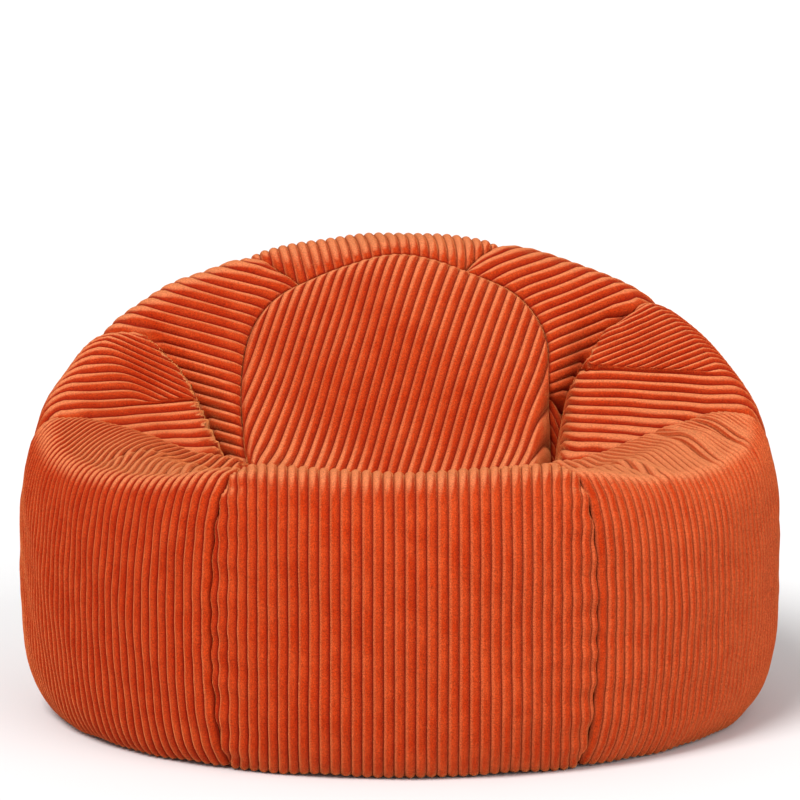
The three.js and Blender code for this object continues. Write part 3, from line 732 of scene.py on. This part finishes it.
def soft_swell(points):
    """Slow unevenness of cloth over loose beads, about 2 mm either way."""
    x, y, z = points[..., 0], points[..., 1], points[..., 2]
    swell = np.sin(x * 31 + 1.3) * np.sin(y * 27 + 0.4) * np.sin(z * 35 + 2.1)
    return 0.0018 * swell + 0.0010 * np.sin(x * 63 + z * 41) * np.sin(y * 58 - z * 47 + 0.9)


def level_planes(cloth, slant):
    """Height above level lines that run at a slant seen from the front."""
    tilt = math.radians(slant)
    x, y, z = cloth[..., 0], cloth[..., 1], cloth[..., 2]
    return -math.sin(tilt) * x + math.cos(tilt) * (SIGHT_RISE * y + (1 - SIGHT_RISE ** 2) ** 0.5 * z)


def turned_ribs(name, cloth, across, along, wall_rows, slant, spread):
    """How far each point lies across ribs that go up the wall and turn level over the rim."""
    open_cloth = cloth.copy()
    open_height = bowl_height(cloth[wall_rows:, :, :2], False)
    dent = np.minimum(open_height - cloth[wall_rows:, :, 2], 0.012 if name in GATHERS else 0.045)
    open_cloth[wall_rows:, :, 2] = open_height - dent
    field = level_planes(open_cloth, slant) * spread
    if name in GATHERS:
        start, gather_slant, (from_x, from_z), tight = GATHERS[name]
        tilt = math.radians(gather_slant)
        base = -math.sin(tilt) * from_x + math.cos(tilt) * from_z
        gathered = start * spread + tight * (level_planes(open_cloth, gather_slant) - base)
        over = gathered - field
        eased = field + (over + np.sqrt(over ** 2 + GATHER_EASE ** 2)) / 2
        field = np.where(field < start * spread, field, eased)
    middle = field.shape[1] // 2
    if field[wall_rows, -1] < field[wall_rows, 0]:
        field = -field
    field = field - field[wall_rows, middle]
    field[wall_rows:] = np.maximum.accumulate(field[wall_rows:], axis=1)
    width = across[:, -1:]
    straight = across - width / 2
    inward = field[wall_rows + 6] - field[wall_rows]
    inward = inward[middle] / (along[wall_rows + 6, middle] - along[wall_rows, middle])
    below = along[wall_rows] - along[:wall_rows]
    turn = smooth(1 - below / RIM_SWEEP)
    step = np.diff(np.concatenate([along[:wall_rows], along[wall_rows:wall_rows + 1]]), axis=0)
    drift = np.cumsum((turn * step)[::-1], axis=0)[::-1] * np.clip(-inward, -0.85, 0.85)
    field[:wall_rows] = (1 - turn) * straight[:wall_rows] + turn * field[wall_rows] + drift
    return field + across * 1e-4


seam_strips = []


def make_gore(name, first, last, parallel_to, slant, spread):
    """One gore: its surface, pulled in at its seams, puckered and creased, with its ribs raised."""
    start_level = float(level_at(ZIP_TOP)) if name == "back" else None
    skin, wall_rows = gore_surface(first, last, start_level)
    across = np.array([path_length(row) for row in skin])
    width = across[:, -1:]
    along = np.array([path_length(column) for column in skin.transpose(1, 0, 2)]).T
    to_panel = along[-1:] - along
    from_seam = np.minimum(across, width - across)
    lay = grid_lay(skin)
    middle = skin[1:, -1] - lay[1:, -3] * SEAM_TURN_DEPTH
    aside = skin[1:, -1] - skin[1:, -4]
    aside = aside / np.linalg.norm(aside, axis=-1, keepdims=True) * SEAM_TURN_WIDTH
    seam_strips.append(np.stack([middle - aside, middle, middle + aside], 1))
    pucker_way = along * 2 * math.pi / PUCKER_PITCH
    wave = np.sin(pucker_way + 0.8 * np.sin(along * 41) + 0.06 / RIB_PITCH * from_seam)
    lift = soft_swell(skin)
    narrow = np.minimum(1, width / 0.09)
    for seam, away in ((first, across), (last, width - across)):
        depth = SEAMS[seam][3]
        loose = PUCKER_FRONT if name == "front" else PUCKER_ELSEWHERE
        lift = lift + loose * wave * np.exp(-(away / PUCKER_REACH) ** 1.5)
        lift = lift - pull_in(away, depth, GROOVE_WIDTH * narrow * (0.45 + 55 * depth))
        lift = lift - pull_in(away, min(0.003, depth * 0.7), 0.0022)
        if name.startswith("front_") and depth > 0.005:
            rising = smooth((np.arange(len(along)) - wall_rows + 9) / 14)[:, None]
            lift = lift + SHOULDER_ROLL * rising * np.exp(-(away / 0.050) ** 2) * narrow
    lift = lift - pull_in(to_panel, PANEL_GROOVE, GROOVE_WIDTH)
    for crease in CREASES.get(name, []):
        reach, share = path_reach(skin[..., :2], crease)
        fades = np.clip(np.sin(math.pi * share), 0, 1) * (skin[..., 2] > WIDEST_HEIGHT + 0.04)
        folded = np.exp(-((reach - 0.013) / 0.009) ** 2) - np.exp(-(reach / 0.006) ** 2)
        lift = lift + CREASE_DEPTH * fades * folded
    cloth = skin + lay * lift[..., None]
    cloth[..., 2] = np.maximum(cloth[..., 2], SEAM_LIFT)
    lay = grid_lay(cloth)
    if slant is None:
        ribs = (across - parallel_to * width) / RIB_PITCH
    else:
        ribs = turned_ribs(name, skin, across, along, wall_rows, slant, spread) / RIB_PITCH
    low = math.floor(ribs.min())
    high = math.ceil(ribs.max())
    samples = (np.arange(low, high)[:, None] + RIB_SAMPLES[None, :]).ravel()
    fade = np.clip(from_seam / PILE_FADE, 0, 1) * np.clip(to_panel / PILE_FADE, 0, 1)
    fade = fade * np.clip((along + 0.001) / PILE_FADE, 0, 1)
    rows = []
    for r in range(len(cloth)):
        at = np.interp(samples, ribs[r], across[r])
        at = np.clip(at, SEAM_HALF_GAP, width[r, 0] - SEAM_HALF_GAP)
        mix = lambda table: np.interp(at, across[r], table)
        outer = np.stack([mix(cloth[r, :, k]) for k in range(3)], -1)
        raised_way = np.stack([mix(lay[r, :, k]) for k in range(3)], -1)
        # Counting the other way moves the painted highlight and painted shade to the other flank of each rib.
        wale = mix(ribs[r]) * (-1 if name in FLANK_PAINT_TURNED else 1)
        rows.append((outer, raised_way, wale, mix(fade[r])))
    made = cord_piece(f"{name}_gore", *[np.array(grid) for grid in zip(*rows)])
    stands_for(made, f"{name}_wall_panel")


for gore in GORES:
    make_gore(*gore)

# The gores' turned-in seam edges, a flat strip of cloth behind every seam.
verts = []
faces = []
for strip in seam_strips:
    at = len(verts) + np.arange(strip.size // 3).reshape(strip.shape[:2])
    verts += strip.reshape(-1, 3).tolist()
    faces += grid_faces(at).tolist()
turned_mesh = bpy.data.meshes.new("turned_seam_edges")
turned_mesh.from_pydata(verts, [], faces)
turned_edges = put_in_scene("turned_seam_edges", turned_mesh)
turned_edges.modifiers.new("Cloth", "SOLIDIFY").thickness = SEAM_TURN_CLOTH
turned_mesh.materials.append(cord_cloth)
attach(turned_edges, "root")

# ---- seat panel ----
# One round piece of the same cord, 358 mm across, sewn into the inner ends of the gores. It lies
# in the hollow and up the backrest, and its ribs run up the back at a slant.
RIB_SLANT = math.radians(14)

seat_line = np.linspace(-0.06, 0.30, 400)
seat_rise = bowl_height(np.stack([0 * seat_line, seat_line], -1), False)
seat_length = path_length(np.stack([seat_line, seat_rise], -1))
outline = panel_edge(np.linspace(0, 360, 721))
outline = PANEL_CENTRE + (outline - PANEL_CENTRE) * (1 - SEAM_HALF_GAP / PANEL_HALF_DEPTH)
up_slope = np.interp(outline[:, 1], seat_line, seat_length)
rib_across = outline[:, 0] * math.cos(RIB_SLANT) - up_slope * math.sin(RIB_SLANT)
rib_along = outline[:, 0] * math.sin(RIB_SLANT) + up_slope * math.cos(RIB_SLANT)
first_end, last_end = sorted((int(np.argmin(rib_across)), int(np.argmax(rib_across))))
half_a = np.arange(first_end, last_end + 1)
half_b = np.concatenate([np.arange(last_end, 720), np.arange(0, first_end + 1)])


def edge_along(half, at):
    order = np.argsort(rib_across[half])
    return np.interp(at, rib_across[half][order], rib_along[half][order])


first_rib = math.floor(rib_across.min() / RIB_PITCH)
last_rib = math.ceil(rib_across.max() / RIB_PITCH)
samples = (np.arange(first_rib, last_rib)[:, None] + RIB_SAMPLES[None, :]).ravel() * RIB_PITCH
samples = np.clip(samples, rib_across.min() + 1e-5, rib_across.max() - 1e-5)
ends = np.stack([edge_along(half_a, samples), edge_along(half_b, samples)])
panel_rows = 56
share = (1 - np.cos(np.linspace(0, math.pi, panel_rows))) / 2
share = 0.6 * np.linspace(0, 1, panel_rows) + 0.4 * share
rib_way = ends.min(0) + share[:, None] * (ends.max(0) - ends.min(0))
rib_place = np.broadcast_to(samples, rib_way.shape)
panel_x = rib_place * math.cos(RIB_SLANT) + rib_way * math.sin(RIB_SLANT)
slope_way = rib_way * math.cos(RIB_SLANT) - rib_place * math.sin(RIB_SLANT)
panel_plan = np.stack([panel_x, np.interp(slope_way, seat_length, seat_line)], -1)
panel_cloth = np.concatenate([panel_plan, bowl_height(panel_plan)[..., None]], -1)


def slope_lay(plan):
    step = 0.004
    dx = bowl_height(plan + [step, 0]) - bowl_height(plan - [step, 0])
    dy = bowl_height(plan + [0, step]) - bowl_height(plan - [0, step])
    lay = np.stack([-dx, -dy, np.full(dx.shape, 2 * step)], -1)
    return lay / np.linalg.norm(lay, axis=-1, keepdims=True)


to_edge = np.abs(path_reach(panel_plan, outline)[0])
lift = soft_swell(panel_cloth) - pull_in(to_edge, PANEL_GROOVE, GROOVE_WIDTH)
panel_lay = slope_lay(panel_plan)
panel_cloth = panel_cloth + panel_lay * lift[..., None]
panel_pile = np.clip(to_edge / PILE_FADE, 0, 1)
seat_panel = cord_piece("seat_panel_cord", panel_cloth, panel_lay, -rib_place / RIB_PITCH, panel_pile)
stands_for(seat_panel, "seat_panel")

# ---- base panel ----
# A round of plain tough cloth under the chair, turned up at its edge and sewn to the gores. It
# stands 42 mm up at the back, where the zip is, with a stitched hem below the zip.
STITCH = (0.0031, 0.0007, 0.0008)
STITCH_PITCH = 0.0040
BASE_CLOTH = 0.0012
BASE_RED = (0.36, 0.055, 0.018, 1)
BASE_SHADE = (0.27, 0.038, 0.012, 1)
THREAD_RED = (0.45, 0.075, 0.02, 1)
THREAD_SHADE = (0.30, 0.045, 0.012, 1)
base_cloth = woven_material("base_cloth", BASE_RED, BASE_SHADE, 2600, 22, 0.0005)


def base_profile(angle):
    floor_part = np.stack([np.linspace(0.0005, 0.366, 40), np.full(40, 0.0004)], -1)
    top = max(float(base_seam_height(angle)), 0.0016)
    heights = 0.0005 + (top - 0.0005) * np.linspace(0, 1, 22) ** 1.6
    return np.concatenate([floor_part, np.stack([floor_radius(heights), heights], -1)])


base_cover = arc_cloth("base_cover", np.linspace(0, 360, 241), base_profile, BASE_CLOTH, 0.0004)
stands_for(base_cover, "base_panel", base_cloth)


def link_row_nodes():
    """Sets a rounded link at even spacing along a line, such as a stitch or a zip's coil turn."""
    sizes = {size: "Float" for size in ("Spacing", "Length", "Height", "Depth", "Slant")}
    given = {"Geometry": "Geometry", **sizes, "Thread": "Material"}
    group, given, out = new_group("Row of links", "GeometryNodeTree", given, {"Geometry": "Geometry"})
    line = add_node(group, "GeometryNodeMeshToCurve", {"Mesh": given["Geometry"]})["Curve"]
    line = {"Curve": line, "Length": given["Spacing"]}
    evenly = add_node(group, "GeometryNodeResampleCurve", line, mode="LENGTH")["Curve"]
    along = {"Vector": add_node(group, "GeometryNodeInputTangent")["Tangent"]}
    turn = add_node(group, "FunctionNodeAlignRotationToVector", along, axis="X", pivot_axis="Z")["Rotation"]
    ball = add_node(group, "GeometryNodeMeshUVSphere", {"Segments": 8, "Rings": 6, "Radius": 0.5})["Mesh"]
    link = add_node(group, "GeometryNodeSetShadeSmooth", {"Geometry": ball})["Geometry"]
    size = {"X": given["Length"], "Y": given["Depth"], "Z": given["Height"]}
    size = add_node(group, "ShaderNodeCombineXYZ", size)["Vector"]
    row = {"Points": evenly, "Instance": link, "Rotation": turn, "Scale": size}
    row = add_node(group, "GeometryNodeInstanceOnPoints", row)["Instances"]
    tip = add_node(group, "ShaderNodeCombineXYZ", {"Y": given["Slant"]})["Vector"]
    slanted_links_or_lit_flank = add_node(group, "GeometryNodeRotateInstances", {"Instances": row, "Rotation": tip})
    dress(group, slanted_links_or_lit_flank["Instances"], given["Thread"], out)
    return group


row_of_links = link_row_nodes()


def link_row(name, lines, spacing, size, slant, material):
    """Links along arcs round the chair, each arc a first and last angle, a radius and a height."""
    verts = []
    edges = []
    for first, last, radius, height in lines:
        angles = np.linspace(first, last, 160)
        start = len(verts)
        verts += [(*p, height) for p in polar(angles, np.full(160, radius))]
        edges += [(start + k, start + k + 1) for k in range(159)]
    mesh = bpy.data.meshes.new(name)
    mesh.from_pydata(verts, edges, [])
    sizes = dict(zip(("Length", "Height", "Depth"), size))
    sizes = {**sizes, "Spacing": spacing, "Slant": slant, "Thread": material}
    return grown(put_in_scene(name, mesh), row_of_links, sizes)


def grain_group():
    """Uneven shade and polish of a hard surface."""
    given = {"Vector": "Vector", "Scale": "Float", "Smooth": "Float", "Rough": "Float"}
    puts_out = {"Grain": "Float", "Polish": "Float"}
    group, given, out = new_group("Fine grain", "ShaderNodeTree", given, puts_out)
    grain = noise(group, given["Vector"], given["Scale"], 4)
    polish = ramp(group, grain, 0, 1, given["Smooth"], given["Rough"], "LINEAR")
    group.links.new(grain, out["Grain"])
    group.links.new(polish, out["Polish"])
    return group


fine_grain = grain_group()


def grained(name, colour, shade, smoothest, roughest, scale):
    """A hard material with a fine grain of two close shades, and its shader's inputs."""
    made, tree, shader = plain_material(name, colour, smoothest)
    place = add_node(tree, "ShaderNodeTexCoord")["Object"]
    given = {"Vector": place, "Scale": scale, "Smooth": smoothest, "Rough": roughest}
    grain = add_node(tree, "ShaderNodeGroup", given, node_tree=fine_grain)
    tree.links.new(blend(tree, grain["Grain"], colour, shade), shader["Base Color"])
    tree.links.new(grain["Polish"], shader["Roughness"])
    return made, shader


sewing_thread = grained("sewing_thread", THREAD_RED, THREAD_SHADE, 0.6, 0.85, 1500)[0]
hem_line = (142, 218, 0.4100, 0.0390)
hem_stitches = link_row("hem_stitches", [hem_line], STITCH_PITCH, STITCH, 0, sewing_thread)
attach(hem_stitches, "root")

# ---- zip ----
# A nylon coil zip 323 mm long in the slot between the back gore and the base panel, so the cover
# comes off for washing. Two woven tapes carry the coils; each tape is held by a row of stitches.
# The slider has no pull, so a child can't open it, and parks under a sewn hood.
ZIP_FIRST = 151.56
ZIP_LAST = 198.94
TAPE_CLOTH = 0.0008
TAPE_RIPPLE = 0.0001
TAPE_RED = (0.40, 0.065, 0.020, 1)
TAPE_SHADE = (0.30, 0.045, 0.014, 1)
COIL_FIRST = 152.03
COIL_LAST = 198.47
COIL_PITCH = 0.0016
COIL_TURN = (0.0011, 0.0033, 0.0020)
COIL_SLANT = 0.20
COIL_RED = (0.46, 0.085, 0.03, 1)
COIL_SHADE = (0.36, 0.060, 0.02, 1)
METAL_GREY = (0.44, 0.44, 0.45, 1)
METAL_SHADE = (0.30, 0.30, 0.31, 1)
TAPE_STITCH = (0.0025, 0.0006, 0.0007)
TAPE_STITCH_PITCH = 0.0032

zip_tape = woven_material("zip_tape", TAPE_RED, TAPE_SHADE, 5200, 40, 0.0002)
coil_nylon = grained("coil_nylon", COIL_RED, COIL_SHADE, 0.32, 0.5, 900)[0]
slider_metal, shader = grained("slider_metal", METAL_GREY, METAL_SHADE, 0.24, 0.46, 420)
shader["Metallic"].default_value = 1


def tape(name, low_edge, high_edge):
    """One tape along the slot, its two edges each given as radius and height."""
    angles = np.linspace(ZIP_FIRST, ZIP_LAST, 140)
    return arc_cloth(name, angles, lambda angle: np.linspace(low_edge, high_edge, 6), TAPE_CLOTH, TAPE_RIPPLE)


upper_tape = tape("upper_zip_tape", (0.4121, 0.0526), (0.4136, 0.0596))
stands_for(upper_tape, "zip_tape_upper", zip_tape)
lower_tape = tape("lower_zip_tape", (0.4097, 0.0441), (0.4113, 0.0511))
stands_for(lower_tape, "zip_tape_lower", zip_tape)
upper_line = (COIL_FIRST, COIL_LAST, 0.4133, 0.0531)
upper_coil = link_row("upper_coil_turns", [upper_line], COIL_PITCH, COIL_TURN, COIL_SLANT, coil_nylon)
stands_for(upper_coil, "zip_coil_upper")
half_turn = math.degrees(COIL_PITCH / 2 / 0.413)
lower_line = (COIL_FIRST + half_turn, COIL_LAST, 0.4124, 0.0497)
lower_coil = link_row("lower_coil_turns", [lower_line], COIL_PITCH, COIL_TURN, -COIL_SLANT, coil_nylon)
stands_for(lower_coil, "zip_coil_lower")
tape_lines = [(151.9, 198.6, 0.4139, 0.0586), (151.9, 198.6, 0.4107, 0.0456)]
tape_stitches = link_row("tape_stitches", tape_lines, TAPE_STITCH_PITCH, TAPE_STITCH, 0, sewing_thread)
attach(tape_stitches, "root")
for node in ("zip_stop_closed_end", "zip_stop_open_end", "zip_slider"):
    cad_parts[node].data.materials.clear()
    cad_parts[node].data.materials.append(slider_metal)

HOOD_ANGLE = 3.04


def hood_profile(angle):
    away = math.sin(math.pi * (angle - ZIP_FIRST) / HOOD_ANGLE)
    points = np.array([(0.4124, 0.0376), (0.4168, 0.0412), (0.4196, 0.0458), (0.4200, 0.0520),
                       (0.4198, 0.0580), (0.4184, 0.0622), (0.4165, 0.0638)])
    smooth_line = even_path(points, 24)
    smooth_line[:, 0] -= 0.0006 * (1 - away)
    return smooth_line


hood_angles = np.linspace(ZIP_FIRST, ZIP_FIRST + HOOD_ANGLE, 18)
hood = arc_cloth("zip_hood", hood_angles, hood_profile, TAPE_CLOTH)
stands_for(hood, "zip_garage", zip_tape)

# ---- label ----
# A blank white woven tape label, 42 by 28 mm, hanging at the lower back beside the zip. A row of
# stitches along its top sews it to the base panel's edge.
LABEL_FIRST = 212.07
LABEL_LAST = 217.93
LABEL_CLOTH = 0.0008
LABEL_STITCH = (0.0020, 0.0006, 0.0007)
LABEL_STITCH_PITCH = 0.0026
LABEL_WHITE = (0.80, 0.78, 0.73, 1)
LABEL_SHADE = (0.70, 0.68, 0.62, 1)
label_tape = woven_material("label_tape", LABEL_WHITE, LABEL_SHADE, 6000, 60, 0.0001)


def label_profile(angle):
    drop = np.linspace(0, 1, 20)[:, None]
    line = (1 - drop) * (0.3985, 0.0132) + drop * (0.4124, 0.0418)
    line[:, 0] += 0.0010 * np.sin(math.pi * drop[:, 0]) * (1 + 0.3 * math.sin(angle))
    return line


label_angles = np.linspace(LABEL_FIRST, LABEL_LAST, 28)
label = arc_cloth("blank_label", label_angles, label_profile, LABEL_CLOTH)
stands_for(label, "care_label", label_tape)
label_line = (212.4, 217.6, 0.4119, 0.0396)
label_stitches = link_row("label_stitches", [label_line], LABEL_STITCH_PITCH, LABEL_STITCH, 0, sewing_thread)
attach(label_stitches, "root")

# ---- studio ----
# A pale floor and soft lights; the camera looks a little down at the front of the chair.
bpy.ops.mesh.primitive_plane_add(size=60)
floor = bpy.context.active_object
floor.name = "studio_floor"
floor.location.z = -0.0005
floor_paint, tree, shader = plain_material("floor_paint", (0.80, 0.80, 0.80, 1), 0.9)
shader["Specular IOR Level"].default_value = 0
floor.data.materials.append(floor_paint)

bpy.context.scene.view_settings.view_transform = "Standard"
sky = bpy.data.worlds.new("studio")
bpy.context.scene.world = sky
sky.use_nodes = True
sky_light = sky.node_tree.nodes["Background"].inputs
sky_light["Color"].default_value = (1, 1, 1, 1)
sky_light["Strength"].default_value = 0.50


def turned_to(made, towards):
    made.rotation_euler = mathutils.Vector(towards).to_track_quat("-Z", "Y").to_euler()


def soft_sun(name, towards, strength, softness):
    data = bpy.data.lights.new(name, "SUN")
    data.energy = strength
    data.angle = math.radians(softness)
    turned_to(put_in_scene(name, data), towards)


soft_sun("main_light", (0.36, 0.60, -0.85), 2.75, 24)
soft_sun("fill_light", (-0.62, 0.70, -0.40), 1.3, 60)

view_data = bpy.data.cameras.new("front_view")
view_data.lens = 280
view_data.clip_end = 60
front_view = put_in_scene("front_view", view_data)
front_view.location = (0, -6.904, 1.502)
turned_to(front_view, (0, 0.9863, -0.1650))
bpy.context.scene.camera = front_view
